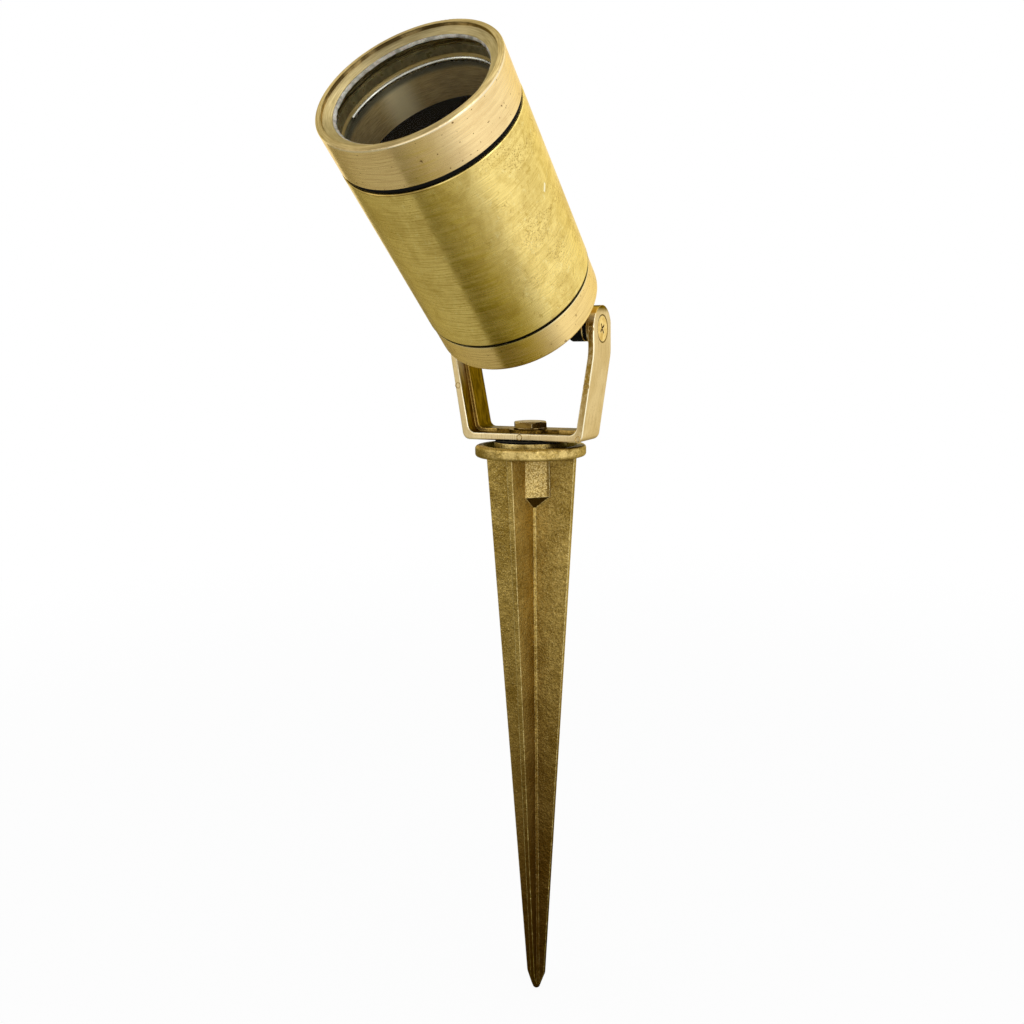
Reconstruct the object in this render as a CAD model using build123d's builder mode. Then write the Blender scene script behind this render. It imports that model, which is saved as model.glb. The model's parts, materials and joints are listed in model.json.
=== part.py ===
from build123d import *
import math
import os

# Garden spike spotlight in solid brass, in millimetres.
# Z runs up the spike's axis, X along the tilt axis, and the head leans towards -Y.
# The origin is on the spike's axis at the underside of its collar, which rests on the ground.

# ---------------------------------------------------------------- driving dimensions
# spike
spike_length = 210.0
collar_radius = 20.6
collar_thickness = 4.2
collar_edge_radius = 1.2
collar_rim_width = 3.2
dish_depth = 2.2
dish_slope_width = 1.1
boss_radius = 13.4
boss_rise = 1.2
boss_slope_width = 0.55
fin_inset = 2.55
fin_reach_end = 3.05
fin_tip_width_top = 2.1
fin_tip_width_end = 1.5
fin_root_width_top = 4.6
fin_root_width_end = 2.0
root_chamfer = 0.7
nose_height = 6.4
nose_radius = 1.3
nose_cap_height = 0.65
column_face_distance = 7.2
column_floor = 2.75
column_point_height = 5.85

# swivel bolt and its washers
bolt_radius = 4.0
bolt_hole_depth = 12.0
bolt_end_gap = 1.0
bolt_end_chamfer = 0.8
hex_across_flats = 11.5
hex_height = 2.2
hex_corner_slope = 30.0
bolt_washer_radius = 6.2
bolt_washer_thickness = 0.5
swivel_washer_radius = 13.0
swivel_washer_thickness = 0.6

# yoke
yoke_width = 16.6
yoke_base_thickness = 2.65
yoke_arm_thickness = 2.4
yoke_foot_half_span = 23.8
yoke_top_half_span = 28.8
yoke_bend_below_pivot = 8.7
yoke_outer_corner_radius = 3.0
yoke_inner_corner_radius = 3.0
yoke_bend_radius = 25.0
yoke_edge_radius = 0.5
rib_front_inset = 5.9
rib_height = 1.2
swivel_pad_radius = 7.8
pivot_pad_radius = 7.0
pivot_height = 46.4

# tilt screws and their stack
screw_radius = 2.5
screw_head_radius = 4.6
screw_head_sink = 0.1
screw_head_land = 0.3
countersink_margin = 0.45
cross_length = 4.4
cross_width = 0.9
cross_depth = 1.4
cross_taper = 12.0
cross_angle = 35.0
ear_gland_gap = 0.4
ear_thickness = 6.5
ear_radius = 3.9
ear_base_half_width = 7.0
ear_root = 1.0
bush_radius = 4.5
bush_nose_radius = 3.5
bush_nose_length = 1.8
tilt_washer_radius = 4.5
tilt_washer_thickness = 0.4
tilt_seal_radius = 4.3
tilt_seal_thickness = 2.4

# head, measured from the tilt axis along the head's own axis
head_tilt = 48.5
body_radius = 30.0
cap_step = 0.3
bezel_step = 0.1
cap_back = 12.0
body_back = 25.0
rear_seal_thickness = 0.75
body_front = 91.1
front_gap = 1.9
bezel_length = 14.4
body_wall = 2.8
neck_step = 2.8
neck_wall = 1.8
neck_shoulder_depth = 7.9
neck_chamfer = 0.5
body_edge_chamfer = 0.25
rear_seal_inset = 0.6

# bezel, lens and seals
bezel_lip_overlap = 1.15
bezel_lip_thickness = 0.8
bezel_ledge_rise = 1.05
bezel_rim_width = 2.0
bezel_edge_radius = 0.8
bezel_rim_edge_radius = 0.3
lens_inset = 1.0
lens_thickness = 3.6
lens_edge_chamfer = 0.5
lens_gasket_width = 0.65
lens_gasket_thickness = 2.5
bead_width = 1.4
bead_face_radius = 3.0
front_ring_inset = 0.5
front_ring_bulge = 0.4
lamp_ring_wire = 1.2
lamp_ring_depth = 1.6
lamp_ring_seat = 0.75
lamp_ring_gap_angle = 24.0
lamp_ring_start_angle = 202.0

# rear cap
cap_edge_radius = 1.6
cap_front_chamfer = 0.35
cap_floor = 6.4
cap_spigot_wall = 3.6
cap_spigot_length = 8.0

# cable gland
gland_thread_radius = 6.0
gland_hex_flats = 14.0
gland_hex_height = 3.2
gland_gasket_thickness = 1.0
gland_gasket_overhang = 0.6
gland_neck_step = 0.2
gland_neck_length = 7.0
gland_wall = 1.2
gland_nut_overhang = 0.4
gland_nut_length = 10.0
gland_nut_wall = 1.2
gland_nut_dome = 2.6
gland_nut_flutes = 12
flute_radius = 0.8
flute_depth = 0.3
gland_nut_gap = 0.4
gland_end_proud = 1.0
cable_radius = 3.3
gland_seal_nose_wall = 0.8
gland_seal_proud = 0.8

# lamp holder and its bracket
bracket_width = 12.0
bracket_thickness = 1.0
bracket_end_gap = 2.5
bracket_foot = 6.0
bracket_rise = 16.0
bracket_screw_radius = 1.5
bracket_screw_head_radius = 2.6
bracket_screw_head = 1.6
bracket_screw_depth = 4.0
bracket_wire_hole_radius = 3.5
holder_length = 22.0
holder_width = 13.0
holder_height = 12.0
holder_corner_radius = 2.5
holder_edge_radius = 0.8
holder_screw_inset = 3.5
holder_screw_radius = 1.25
holder_screw_head_radius = 2.2
holder_screw_head = 1.4
holder_screw_sink = 3.0
holder_screw_end = 2.5
pin_hole_radius = 1.1
pin_hole_spacing = 5.33
pin_hole_depth = 7.0

# clearances
running = 0.1
loose = 0.2
seat_gap = 0.05
bearing_gap = 0.12

# ---------------------------------------------------------------- derived places
tilt = math.radians(head_tilt)
pivot = Vector(0, 0, pivot_height)
head_up = Vector(0, -math.sin(tilt), math.cos(tilt))
head_side = Vector(0, math.cos(tilt), math.sin(tilt))
head_axis = Axis(pivot, head_up)
tilt_axis = Axis(pivot, (1, 0, 0))
head_section = Plane(origin=pivot, x_dir=(1, 0, 0), z_dir=-head_side)

dish_radius = collar_radius - collar_rim_width
fin_reach_top = collar_radius - fin_inset
column_height = bolt_hole_depth + column_floor
boss_top = collar_thickness + boss_rise
swivel_washer_top = boss_top + swivel_washer_thickness
yoke_bottom = swivel_washer_top + bearing_gap
swivel_pad_top = yoke_bottom + yoke_base_thickness + rib_height
bolt_washer_bottom = swivel_pad_top + bearing_gap
hex_bottom = bolt_washer_bottom + bolt_washer_thickness
hex_top = hex_bottom + hex_height
yoke_bend = pivot_height - yoke_bend_below_pivot
yoke_top = pivot_height + yoke_width / 2

arm_inner_x = yoke_top_half_span - yoke_arm_thickness
pad_face_x = arm_inner_x - rib_height
tilt_seal_outer_x = pad_face_x - bearing_gap
tilt_seal_inner_x = tilt_seal_outer_x - tilt_seal_thickness
tilt_washer_inner_x = tilt_seal_inner_x - tilt_washer_thickness

body_bore_radius = body_radius - body_wall
neck_radius = body_radius - neck_step
neck_bore_radius = neck_radius - neck_wall
bezel_radius = body_radius - bezel_step
bezel_bore_radius = neck_radius + running
rim_inner_radius = bezel_radius - bezel_rim_width
lens_radius = neck_radius - lens_inset
lens_pocket_radius = lens_radius + loose
lens_gasket_radius = lens_pocket_radius - seat_gap
bezel_aperture_radius = lens_radius - bezel_lip_overlap
bead_inner_radius = bezel_aperture_radius - bead_width
lamp_ring_radius = neck_bore_radius + lamp_ring_seat - lamp_ring_wire / 2

bezel_back = body_front + front_gap
bezel_front = bezel_back + bezel_length
ledge_front = bezel_front - bezel_ledge_rise
lip_front = ledge_front - bezel_ledge_rise
lens_front = lip_front - bezel_lip_thickness
lens_back = lens_front - lens_thickness
gasket_back = lens_back - lens_gasket_thickness
neck_front = gasket_back - loose
neck_back = body_front - neck_shoulder_depth
lamp_ring_at = neck_front - lamp_ring_depth

cap_radius = body_radius - cap_step
cap_spigot_radius = body_bore_radius - running
cap_bore_radius = cap_spigot_radius - cap_spigot_wall
cap_front = body_back - rear_seal_thickness
cap_inner_floor = cap_back + cap_floor
cap_spigot_front = body_back + cap_spigot_length
gland_hex_back = cap_back - gland_gasket_thickness - gland_hex_height
gland_neck_back = gland_hex_back - gland_neck_length
gland_neck_radius = gland_thread_radius - gland_neck_step
gland_bore_radius = gland_neck_radius - gland_wall
gland_seal_radius = gland_bore_radius - running
gland_seal_nose_radius = cable_radius + gland_seal_nose_wall
gland_nut_radius = gland_hex_flats / 2 + gland_nut_overhang
nut_bore_radius = gland_neck_radius + seat_gap
nut_mouth_radius = gland_seal_nose_radius + seat_gap
nut_front = gland_hex_back - gland_nut_gap
nut_back = nut_front - gland_nut_length
ear_inner_x = gland_hex_flats / math.sqrt(3) + ear_gland_gap
ear_outer_x = ear_inner_x + ear_thickness

bracket_end = cap_bore_radius - bracket_end_gap
bracket_half_span = bracket_end - bracket_foot
bracket_leg = bracket_half_span - bracket_thickness
bracket_screw_x = bracket_end - bracket_foot / 2
foot_top = cap_inner_floor + bracket_thickness
bracket_top = cap_inner_floor + bracket_rise
holder_front = bracket_top + holder_height
holder_screw_x = holder_length / 2 - holder_screw_inset


def head_plane(distance):
    """Plane square to the head's axis, at a distance from the tilt axis."""
    return Plane(origin=pivot + head_up * distance, x_dir=(1, 0, 0), z_dir=head_up)


def fin_cross(reach, tip_width, root_width):
    """Outline points of four drafted fins, with a small flat in each inner corner."""
    root = root_width / 2
    tip = tip_width / 2
    fin = [
        (root + root_chamfer, -root),
        (reach, -tip),
        (reach, tip),
        (root + root_chamfer, root),
    ]
    points = []
    for quarter in range(4):
        for x, y in fin:
            for _ in range(quarter):
                x, y = -y, x
            points.append((x, y))
    return points


os.makedirs("parts", exist_ok=True)

# ---------------------------------------------------------------- spike
nose_start = -spike_length + nose_height
nose_cap_start = -spike_length + nose_cap_height
nose_cap_radius = (nose_radius**2 + nose_cap_height**2) / (2 * nose_cap_height)
nose_top_radius = fin_reach_end + (fin_reach_top - fin_reach_end) * nose_height / spike_length
with BuildPart() as spike:
    with BuildSketch(Plane.XY):
        Polygon(*fin_cross(fin_reach_top, fin_tip_width_top, fin_root_width_top), align=None)
    with BuildSketch(Plane.XY.offset(-spike_length)):
        Polygon(*fin_cross(fin_reach_end, fin_tip_width_end, fin_root_width_end), align=None)
    loft(ruled=True)
    # the end of the fins is turned to a rounded point
    with BuildSketch(Plane.XZ):
        with BuildLine():
            Polyline(
                (0, -spike_length),
                (0, 0),
                (collar_radius, 0),
                (collar_radius, nose_start / 2),
                (nose_top_radius, nose_start),
                (nose_radius, nose_cap_start),
            )
            RadiusArc((nose_radius, nose_cap_start), (0, -spike_length), nose_cap_radius)
        make_face()
    revolve(axis=Axis.Z, mode=Mode.INTERSECT)
    # square column round the bolt, set between the fins, ending in a pyramid
    with BuildSketch(Plane.XY):
        Rectangle(2 * column_face_distance, 2 * column_face_distance, rotation=45)
    extrude(amount=-column_height)
    with BuildSketch(Plane.XY.offset(-column_height)):
        Rectangle(2 * column_face_distance, 2 * column_face_distance, rotation=45)
    with BuildSketch(Plane.XY.offset(-column_height - column_point_height)):
        Rectangle(fin_root_width_top, fin_root_width_top, rotation=45)
    loft(ruled=True)
    # collar with a rounded rim, dished round a raised boss
    with BuildSketch(Plane.XZ):
        with BuildLine():
            Polyline(
                (0, 0),
                (collar_radius, 0),
                (collar_radius, collar_thickness),
                (dish_radius, collar_thickness),
                (dish_radius - dish_slope_width, collar_thickness - dish_depth),
                (boss_radius + boss_slope_width, collar_thickness - dish_depth),
                (boss_radius, boss_top),
                (0, boss_top),
                (0, 0),
            )
        collar_face = make_face()
        rim_corners = collar_face.vertices().sort_by(Axis.X)[-2:]
        fillet(rim_corners, collar_edge_radius)
    revolve(axis=Axis.Z)
    with Locations(Plane.XY.offset(boss_top)):
        Hole(radius=bolt_radius + seat_gap, depth=boss_top + bolt_hole_depth)
spike.part.label = "spike"
export_step(spike.part, "parts/spike.step")

# ---------------------------------------------------------------- swivel bolt and washers
hex_corner_radius = hex_across_flats / math.sqrt(3)
corner_drop = (hex_corner_radius - hex_across_flats / 2) * math.tan(math.radians(hex_corner_slope))
with BuildPart() as swivel_bolt:
    with BuildSketch(Plane.XY.offset(hex_bottom)):
        RegularPolygon(radius=hex_corner_radius, side_count=6)
    extrude(amount=hex_height)
    # the corners of the hexagon are turned back
    with BuildSketch(Plane.XZ):
        with BuildLine():
            Polyline(
                (0, hex_bottom),
                (hex_corner_radius, hex_bottom),
                (hex_corner_radius, hex_top - corner_drop),
                (hex_across_flats / 2, hex_top),
                (0, hex_top),
                (0, hex_bottom),
            )
        make_face()
    revolve(axis=Axis.Z, mode=Mode.INTERSECT)
    with BuildSketch(Plane.XY.offset(hex_bottom)):
        Circle(bolt_radius)
    extrude(amount=-(hex_bottom + bolt_hole_depth - bolt_end_gap))
    chamfer(swivel_bolt.edges().sort_by(Axis.Z)[0], bolt_end_chamfer)
swivel_bolt.part.label = "swivel_bolt"
export_step(swivel_bolt.part, "parts/swivel_bolt.step")

with BuildPart() as bolt_washer:
    with BuildSketch(Plane.XY.offset(bolt_washer_bottom)):
        Circle(bolt_washer_radius)
        Circle(bolt_radius + seat_gap, mode=Mode.SUBTRACT)
    extrude(amount=bolt_washer_thickness)
bolt_washer.part.label = "bolt_washer"
export_step(bolt_washer.part, "parts/bolt_washer.step")

with BuildPart() as swivel_washer:
    with BuildSketch(Plane.XY.offset(boss_top)):
        Circle(swivel_washer_radius)
        Circle(bolt_radius + seat_gap, mode=Mode.SUBTRACT)
    extrude(amount=swivel_washer_thickness)
swivel_washer.part.label = "swivel_washer"
export_step(swivel_washer.part, "parts/swivel_washer.step")

# ---------------------------------------------------------------- yoke


def yoke_outline(inset, foot_lift):
    """Points of one U-shaped line, from the left arm's top round to the right arm's top."""
    return [
        (-(yoke_top_half_span - inset), yoke_top),
        (-(yoke_top_half_span - inset), yoke_bend),
        (-(yoke_foot_half_span - inset), yoke_bottom + foot_lift),
        (yoke_foot_half_span - inset, yoke_bottom + foot_lift),
        (yoke_top_half_span - inset, yoke_bend),
        (yoke_top_half_span - inset, yoke_top),
    ]


def u_band(outer_inset, outer_lift, inner_inset, inner_lift, outer_corner, inner_corner):
    """Draws the closed outline of a U-shaped band, with rounded corners and bends."""
    outer = yoke_outline(outer_inset, outer_lift)
    inner = yoke_outline(inner_inset, inner_lift)
    FilletPolyline(*outer, radius=(yoke_bend_radius, outer_corner, outer_corner, yoke_bend_radius))
    FilletPolyline(*inner, radius=(yoke_bend_radius, inner_corner, inner_corner, yoke_bend_radius))
    Line(outer[0], inner[0])
    Line(outer[-1], inner[-1])


half_width = yoke_width / 2
with BuildPart() as yoke:
    with BuildSketch(Plane.XZ):
        with BuildLine():
            u_band(
                0,
                0,
                yoke_arm_thickness,
                yoke_base_thickness,
                yoke_outer_corner_radius,
                yoke_inner_corner_radius,
            )
        make_face()
    extrude(amount=half_width, both=True)
    # behind a step the bow is thicker on its inner side
    with BuildSketch(Plane.XZ.offset(half_width - rib_front_inset)):
        with BuildLine():
            u_band(
                yoke_arm_thickness / 2,
                yoke_base_thickness / 2,
                yoke_arm_thickness + rib_height,
                yoke_base_thickness + rib_height,
                yoke_inner_corner_radius,
                yoke_inner_corner_radius - rib_height / 2,
            )
        make_face()
    extrude(amount=-(yoke_width - rib_front_inset))
    fillet(yoke.faces().sort_by(Axis.Y)[0].edges(), yoke_edge_radius)
    fillet(yoke.faces().sort_by(Axis.Y)[-1].edges(), yoke_edge_radius)
    # the arms end in a half round about the tilt axis
    with BuildSketch(Plane.YZ):
        with Locations((0, (yoke_bottom + pivot_height) / 2)):
            Rectangle(yoke_width, pivot_height - yoke_bottom)
        with Locations((0, pivot_height)):
            Circle(half_width)
    extrude(amount=yoke_top_half_span, both=True, mode=Mode.INTERSECT)
    # round pads at the three holes, level with the thicker part
    with BuildSketch(Plane.XY.offset(yoke_bottom + yoke_base_thickness / 2)):
        Circle(swivel_pad_radius)
    extrude(amount=yoke_base_thickness / 2 + rib_height)
    for side in (-1, 1):
        with BuildSketch(Plane.YZ.offset(side * (arm_inner_x + yoke_arm_thickness / 2))):
            with Locations((0, pivot_height)):
                Circle(pivot_pad_radius)
        extrude(amount=-side * (yoke_arm_thickness / 2 + rib_height))
    with Locations(Plane.XY.offset(swivel_pad_top)):
        Hole(radius=bolt_radius + running, depth=swivel_pad_top)
    for side in (-1, 1):
        outside = Plane(origin=(side * yoke_top_half_span, 0, pivot_height), z_dir=(side, 0, 0))
        with Locations(outside):
            CounterSinkHole(
                radius=screw_radius + running,
                counter_sink_radius=screw_head_radius + countersink_margin,
                depth=yoke_arm_thickness + rib_height,
                counter_sink_angle=90,
            )
yoke.part.label = "yoke"
export_step(yoke.part, "parts/yoke.step")

# ---------------------------------------------------------------- rear cap and its seal
with BuildPart() as rear_cap:
    with BuildSketch(head_section):
        with BuildLine():
            Polyline(
                (gland_thread_radius + seat_gap, cap_back),
                (cap_radius, cap_back),
                (cap_radius, cap_front),
                (cap_spigot_radius, cap_front),
                (cap_spigot_radius, cap_spigot_front),
                (cap_bore_radius, cap_spigot_front),
                (cap_bore_radius, cap_inner_floor),
                (gland_thread_radius + seat_gap, cap_inner_floor),
                close=True,
            )
        cap_face = make_face()
        outer_corners = cap_face.vertices().group_by(Axis.X)[-1].sort_by(Axis.Y)
        fillet(outer_corners[0], cap_edge_radius)
        chamfer(outer_corners[-1], cap_front_chamfer)
    revolve(axis=head_axis)
    # two ears reach back to the tilt axis and take the tilt screws
    for side in (-1, 1):
        ear_plane = Plane(origin=pivot + Vector(side * ear_inner_x, 0, 0), x_dir=head_side, z_dir=(1, 0, 0))
        with BuildSketch(ear_plane):
            Circle(ear_radius)
            with BuildLine():
                Polyline(
                    (-ear_radius, 0),
                    (ear_radius, 0),
                    (ear_base_half_width, cap_back + ear_root),
                    (-ear_base_half_width, cap_back + ear_root),
                    close=True,
                )
            make_face()
        extrude(amount=side * (ear_outer_x - ear_inner_x))
    with Locations(Plane(origin=pivot + Vector(ear_outer_x, 0, 0), z_dir=(1, 0, 0))):
        Hole(radius=screw_radius + seat_gap, depth=2 * ear_outer_x)
    with Locations(head_plane(cap_inner_floor)):
        with GridLocations(2 * bracket_screw_x, 0, 2, 1):
            Hole(radius=bracket_screw_radius + seat_gap, depth=bracket_screw_depth)
rear_cap.part.label = "rear_cap"
export_step(rear_cap.part, "parts/rear_cap.step")

with BuildPart() as rear_seal:
    with BuildSketch(head_plane(cap_front)):
        Circle(cap_radius - rear_seal_inset)
        Circle(body_bore_radius, mode=Mode.SUBTRACT)
    extrude(amount=rear_seal_thickness)
rear_seal.part.label = "rear_seal"
export_step(rear_seal.part, "parts/rear_seal.step")

# ---------------------------------------------------------------- housing tube with its neck
with BuildPart() as housing_tube:
    with BuildSketch(head_section):
        with BuildLine():
            Polyline(
                (body_bore_radius, body_back),
                (body_radius, body_back),
                (body_radius, body_front),
                (neck_radius, body_front),
                (neck_radius, neck_front - neck_chamfer),
                (neck_radius - neck_chamfer, neck_front),
                (neck_bore_radius, neck_front),
                (neck_bore_radius, neck_back),
                (body_bore_radius, neck_back),
                close=True,
            )
        tube_face = make_face()
        chamfer(tube_face.vertices().group_by(Axis.X)[-1], body_edge_chamfer)
        with Locations((lamp_ring_radius, lamp_ring_at)):
            Circle(lamp_ring_wire / 2 + seat_gap, mode=Mode.SUBTRACT)
    revolve(axis=head_axis)
housing_tube.part.label = "housing_tube"
export_step(housing_tube.part, "parts/housing_tube.step")

# sprung wire ring that snaps into the groove of the neck and holds the lamp
ring_start = math.radians(lamp_ring_start_angle)
ring_radial = Vector(1, 0, 0) * math.cos(ring_start) + head_side * math.sin(ring_start)
ring_section = Plane(origin=pivot, x_dir=ring_radial, z_dir=ring_radial.cross(head_up))
with BuildPart() as lamp_ring:
    with BuildSketch(ring_section):
        with Locations((lamp_ring_radius, lamp_ring_at)):
            Circle(lamp_ring_wire / 2)
    revolve(axis=head_axis, revolution_arc=360 - lamp_ring_gap_angle)
lamp_ring.part.label = "lamp_ring"
export_step(lamp_ring.part, "parts/lamp_ring.step")

# ---------------------------------------------------------------- bezel, lens and their seals
ring_inner_radius = neck_radius + running
ring_outer_radius = body_radius - front_ring_inset
ring_edge_radius = ring_outer_radius - front_ring_bulge
ring_back = body_front + seat_gap
ring_front = bezel_back - seat_gap
with BuildPart() as front_o_ring:
    with BuildSketch(head_section):
        with BuildLine():
            Polyline(
                (ring_edge_radius, ring_back),
                (ring_inner_radius, ring_back),
                (ring_inner_radius, ring_front),
                (ring_edge_radius, ring_front),
            )
            ThreePointArc(
                (ring_edge_radius, ring_front),
                (ring_outer_radius, (ring_back + ring_front) / 2),
                (ring_edge_radius, ring_back),
            )
        make_face()
    revolve(axis=head_axis)
front_o_ring.part.label = "front_o_ring"
export_step(front_o_ring.part, "parts/front_o_ring.step")

with BuildPart() as bezel:
    with BuildSketch(head_section):
        with BuildLine():
            Polyline(
                (bezel_bore_radius, bezel_back),
                (bezel_radius, bezel_back),
                (bezel_radius, bezel_front),
                (rim_inner_radius, bezel_front),
                (rim_inner_radius, ledge_front),
                (bezel_aperture_radius, lip_front),
                (bezel_aperture_radius, lens_front),
                (lens_pocket_radius, lens_front),
                (lens_pocket_radius, gasket_back),
                (bezel_bore_radius, gasket_back),
                close=True,
            )
        bezel_face = make_face()
        bezel_corners = bezel_face.vertices().group_by(Axis.X)[-1].sort_by(Axis.Y)
        rim_corner = bezel_face.vertices().group_by(Axis.Y)[-1].sort_by(Axis.X)[0]
        fillet(bezel_corners[-1], bezel_edge_radius)
        fillet(rim_corner, bezel_rim_edge_radius)
        chamfer(bezel_corners[0], body_edge_chamfer)
    revolve(axis=head_axis)
bezel.part.label = "bezel"
export_step(bezel.part, "parts/bezel.step")

with BuildPart() as lens:
    with BuildSketch(head_plane(lens_back)):
        Circle(lens_radius)
    extrude(amount=lens_thickness)
    chamfer(lens.edges(), lens_edge_chamfer)
lens.part.label = "lens"
export_step(lens.part, "parts/lens.step")

with BuildPart() as lens_gasket:
    with BuildSketch(head_plane(gasket_back)):
        Circle(lens_gasket_radius)
        Circle(lens_gasket_radius - lens_gasket_width, mode=Mode.SUBTRACT)
    extrude(amount=lens_gasket_thickness)
lens_gasket.part.label = "lens_gasket"
export_step(lens_gasket.part, "parts/lens_gasket.step")

with BuildPart() as silicone_bead:
    with BuildSketch(head_section):
        with BuildLine():
            Polyline(
                (bead_inner_radius, lens_front),
                (bezel_aperture_radius, lens_front),
                (bezel_aperture_radius, lip_front),
            )
            RadiusArc(
                (bezel_aperture_radius, lip_front),
                (bead_inner_radius, lens_front),
                -bead_face_radius,
            )
        make_face()
    revolve(axis=head_axis)
silicone_bead.part.label = "silicone_bead"
export_step(silicone_bead.part, "parts/silicone_bead.step")

# ---------------------------------------------------------------- cable gland
with BuildPart() as cable_gland:
    with BuildSketch(head_plane(gland_hex_back)):
        RegularPolygon(radius=gland_hex_flats / 2, side_count=6, major_radius=False)
    extrude(amount=gland_hex_height)
    with BuildSketch(head_plane(gland_neck_back)):
        Circle(gland_neck_radius)
    extrude(amount=gland_neck_length)
    with BuildSketch(head_plane(gland_hex_back)):
        Circle(gland_thread_radius)
    extrude(amount=cap_inner_floor + gland_end_proud - gland_hex_back)
    with Locations(head_plane(cap_inner_floor + gland_end_proud)):
        Hole(radius=gland_bore_radius)
cable_gland.part.label = "cable_gland"
export_step(cable_gland.part, "parts/cable_gland.step")

with BuildPart() as gland_gasket:
    with BuildSketch(head_plane(cap_back - gland_gasket_thickness)):
        Circle(gland_hex_flats / 2 + gland_gasket_overhang)
        Circle(gland_thread_radius + seat_gap, mode=Mode.SUBTRACT)
    extrude(amount=gland_gasket_thickness)
gland_gasket.part.label = "gland_gasket"
export_step(gland_gasket.part, "parts/gland_gasket.step")

with BuildPart() as gland_nut:
    with BuildSketch(head_section):
        with BuildLine():
            Polyline(
                (nut_bore_radius, nut_front),
                (gland_nut_radius, nut_front),
                (gland_nut_radius, nut_back),
                (nut_mouth_radius, nut_back),
                (nut_mouth_radius, nut_back + gland_nut_wall),
                (nut_bore_radius, gland_neck_back - seat_gap),
                close=True,
            )
        nut_face = make_face()
        fillet(nut_face.vertices().group_by(Axis.X)[-1].sort_by(Axis.Y)[0], gland_nut_dome)
    revolve(axis=head_axis)
    # grip flutes round the nut
    with BuildSketch(head_plane(nut_front)):
        with PolarLocations(gland_nut_radius + flute_radius - flute_depth, gland_nut_flutes):
            Circle(flute_radius)
    extrude(amount=-(gland_nut_length - gland_nut_dome), mode=Mode.SUBTRACT)
gland_nut.part.label = "gland_nut"
export_step(gland_nut.part, "parts/gland_nut.step")

with BuildPart() as gland_seal:
    with BuildSketch(head_plane(gland_neck_back)):
        Circle(gland_seal_radius)
    extrude(amount=gland_neck_length)
    with BuildSketch(head_plane(nut_back - gland_seal_proud)):
        Circle(gland_seal_nose_radius)
    extrude(amount=gland_neck_back - nut_back + gland_seal_proud)
    with Locations(head_plane(gland_hex_back)):
        Hole(radius=cable_radius)
gland_seal.part.label = "gland_seal"
export_step(gland_seal.part, "parts/gland_seal.step")

# ---------------------------------------------------------------- lamp holder on its bracket
with BuildPart() as holder_bracket:
    with BuildSketch(head_section):
        with BuildLine():
            Polyline(
                (-bracket_end, cap_inner_floor),
                (-bracket_leg, cap_inner_floor),
                (-bracket_leg, bracket_top - bracket_thickness),
                (bracket_leg, bracket_top - bracket_thickness),
                (bracket_leg, cap_inner_floor),
                (bracket_end, cap_inner_floor),
                (bracket_end, foot_top),
                (bracket_half_span, foot_top),
                (bracket_half_span, bracket_top),
                (-bracket_half_span, bracket_top),
                (-bracket_half_span, foot_top),
                (-bracket_end, foot_top),
                close=True,
            )
        make_face()
    extrude(amount=bracket_width / 2, both=True)
    with Locations(head_plane(foot_top)):
        with GridLocations(2 * bracket_screw_x, 0, 2, 1):
            Hole(radius=bracket_screw_radius + running, depth=bracket_thickness)
    with Locations(head_plane(bracket_top)):
        with GridLocations(2 * holder_screw_x, 0, 2, 1):
            Hole(radius=holder_screw_radius + running, depth=bracket_thickness)
        Hole(radius=bracket_wire_hole_radius, depth=bracket_thickness)
holder_bracket.part.label = "holder_bracket"
export_step(holder_bracket.part, "parts/holder_bracket.step")

with BuildPart() as bracket_screws:
    with Locations(head_plane(foot_top)):
        with GridLocations(2 * bracket_screw_x, 0, 2, 1):
            Cylinder(
                bracket_screw_radius,
                bracket_thickness + bracket_screw_depth - running,
                align=(Align.CENTER, Align.CENTER, Align.MAX),
            )
            Cylinder(
                bracket_screw_head_radius,
                bracket_screw_head,
                align=(Align.CENTER, Align.CENTER, Align.MIN),
            )
bracket_screws.part.label = "bracket_screws"
export_step(bracket_screws.part, "parts/bracket_screws.step")

with BuildPart() as lamp_holder:
    with BuildSketch(head_plane(bracket_top)):
        RectangleRounded(holder_length, holder_width, holder_corner_radius)
    extrude(amount=holder_height)
    fillet(lamp_holder.faces().sort_by(head_axis)[-1].edges(), holder_edge_radius)
    with Locations(head_plane(holder_front)):
        with GridLocations(pin_hole_spacing, 0, 2, 1):
            Hole(radius=pin_hole_radius, depth=pin_hole_depth)
        with GridLocations(2 * holder_screw_x, 0, 2, 1):
            CounterBoreHole(
                radius=holder_screw_radius + running,
                counter_bore_radius=holder_screw_head_radius + loose,
                counter_bore_depth=holder_screw_sink,
                depth=holder_height,
            )
lamp_holder.part.label = "lamp_holder"
export_step(lamp_holder.part, "parts/lamp_holder.step")

with BuildPart() as holder_screws:
    with Locations(head_plane(holder_front - holder_screw_sink)):
        with GridLocations(2 * holder_screw_x, 0, 2, 1):
            Cylinder(
                holder_screw_radius,
                holder_height - holder_screw_sink + holder_screw_end,
                align=(Align.CENTER, Align.CENTER, Align.MAX),
            )
            Cylinder(
                holder_screw_head_radius,
                holder_screw_head,
                align=(Align.CENTER, Align.CENTER, Align.MIN),
            )
holder_screws.part.label = "holder_screws"
export_step(holder_screws.part, "parts/holder_screws.step")

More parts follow.
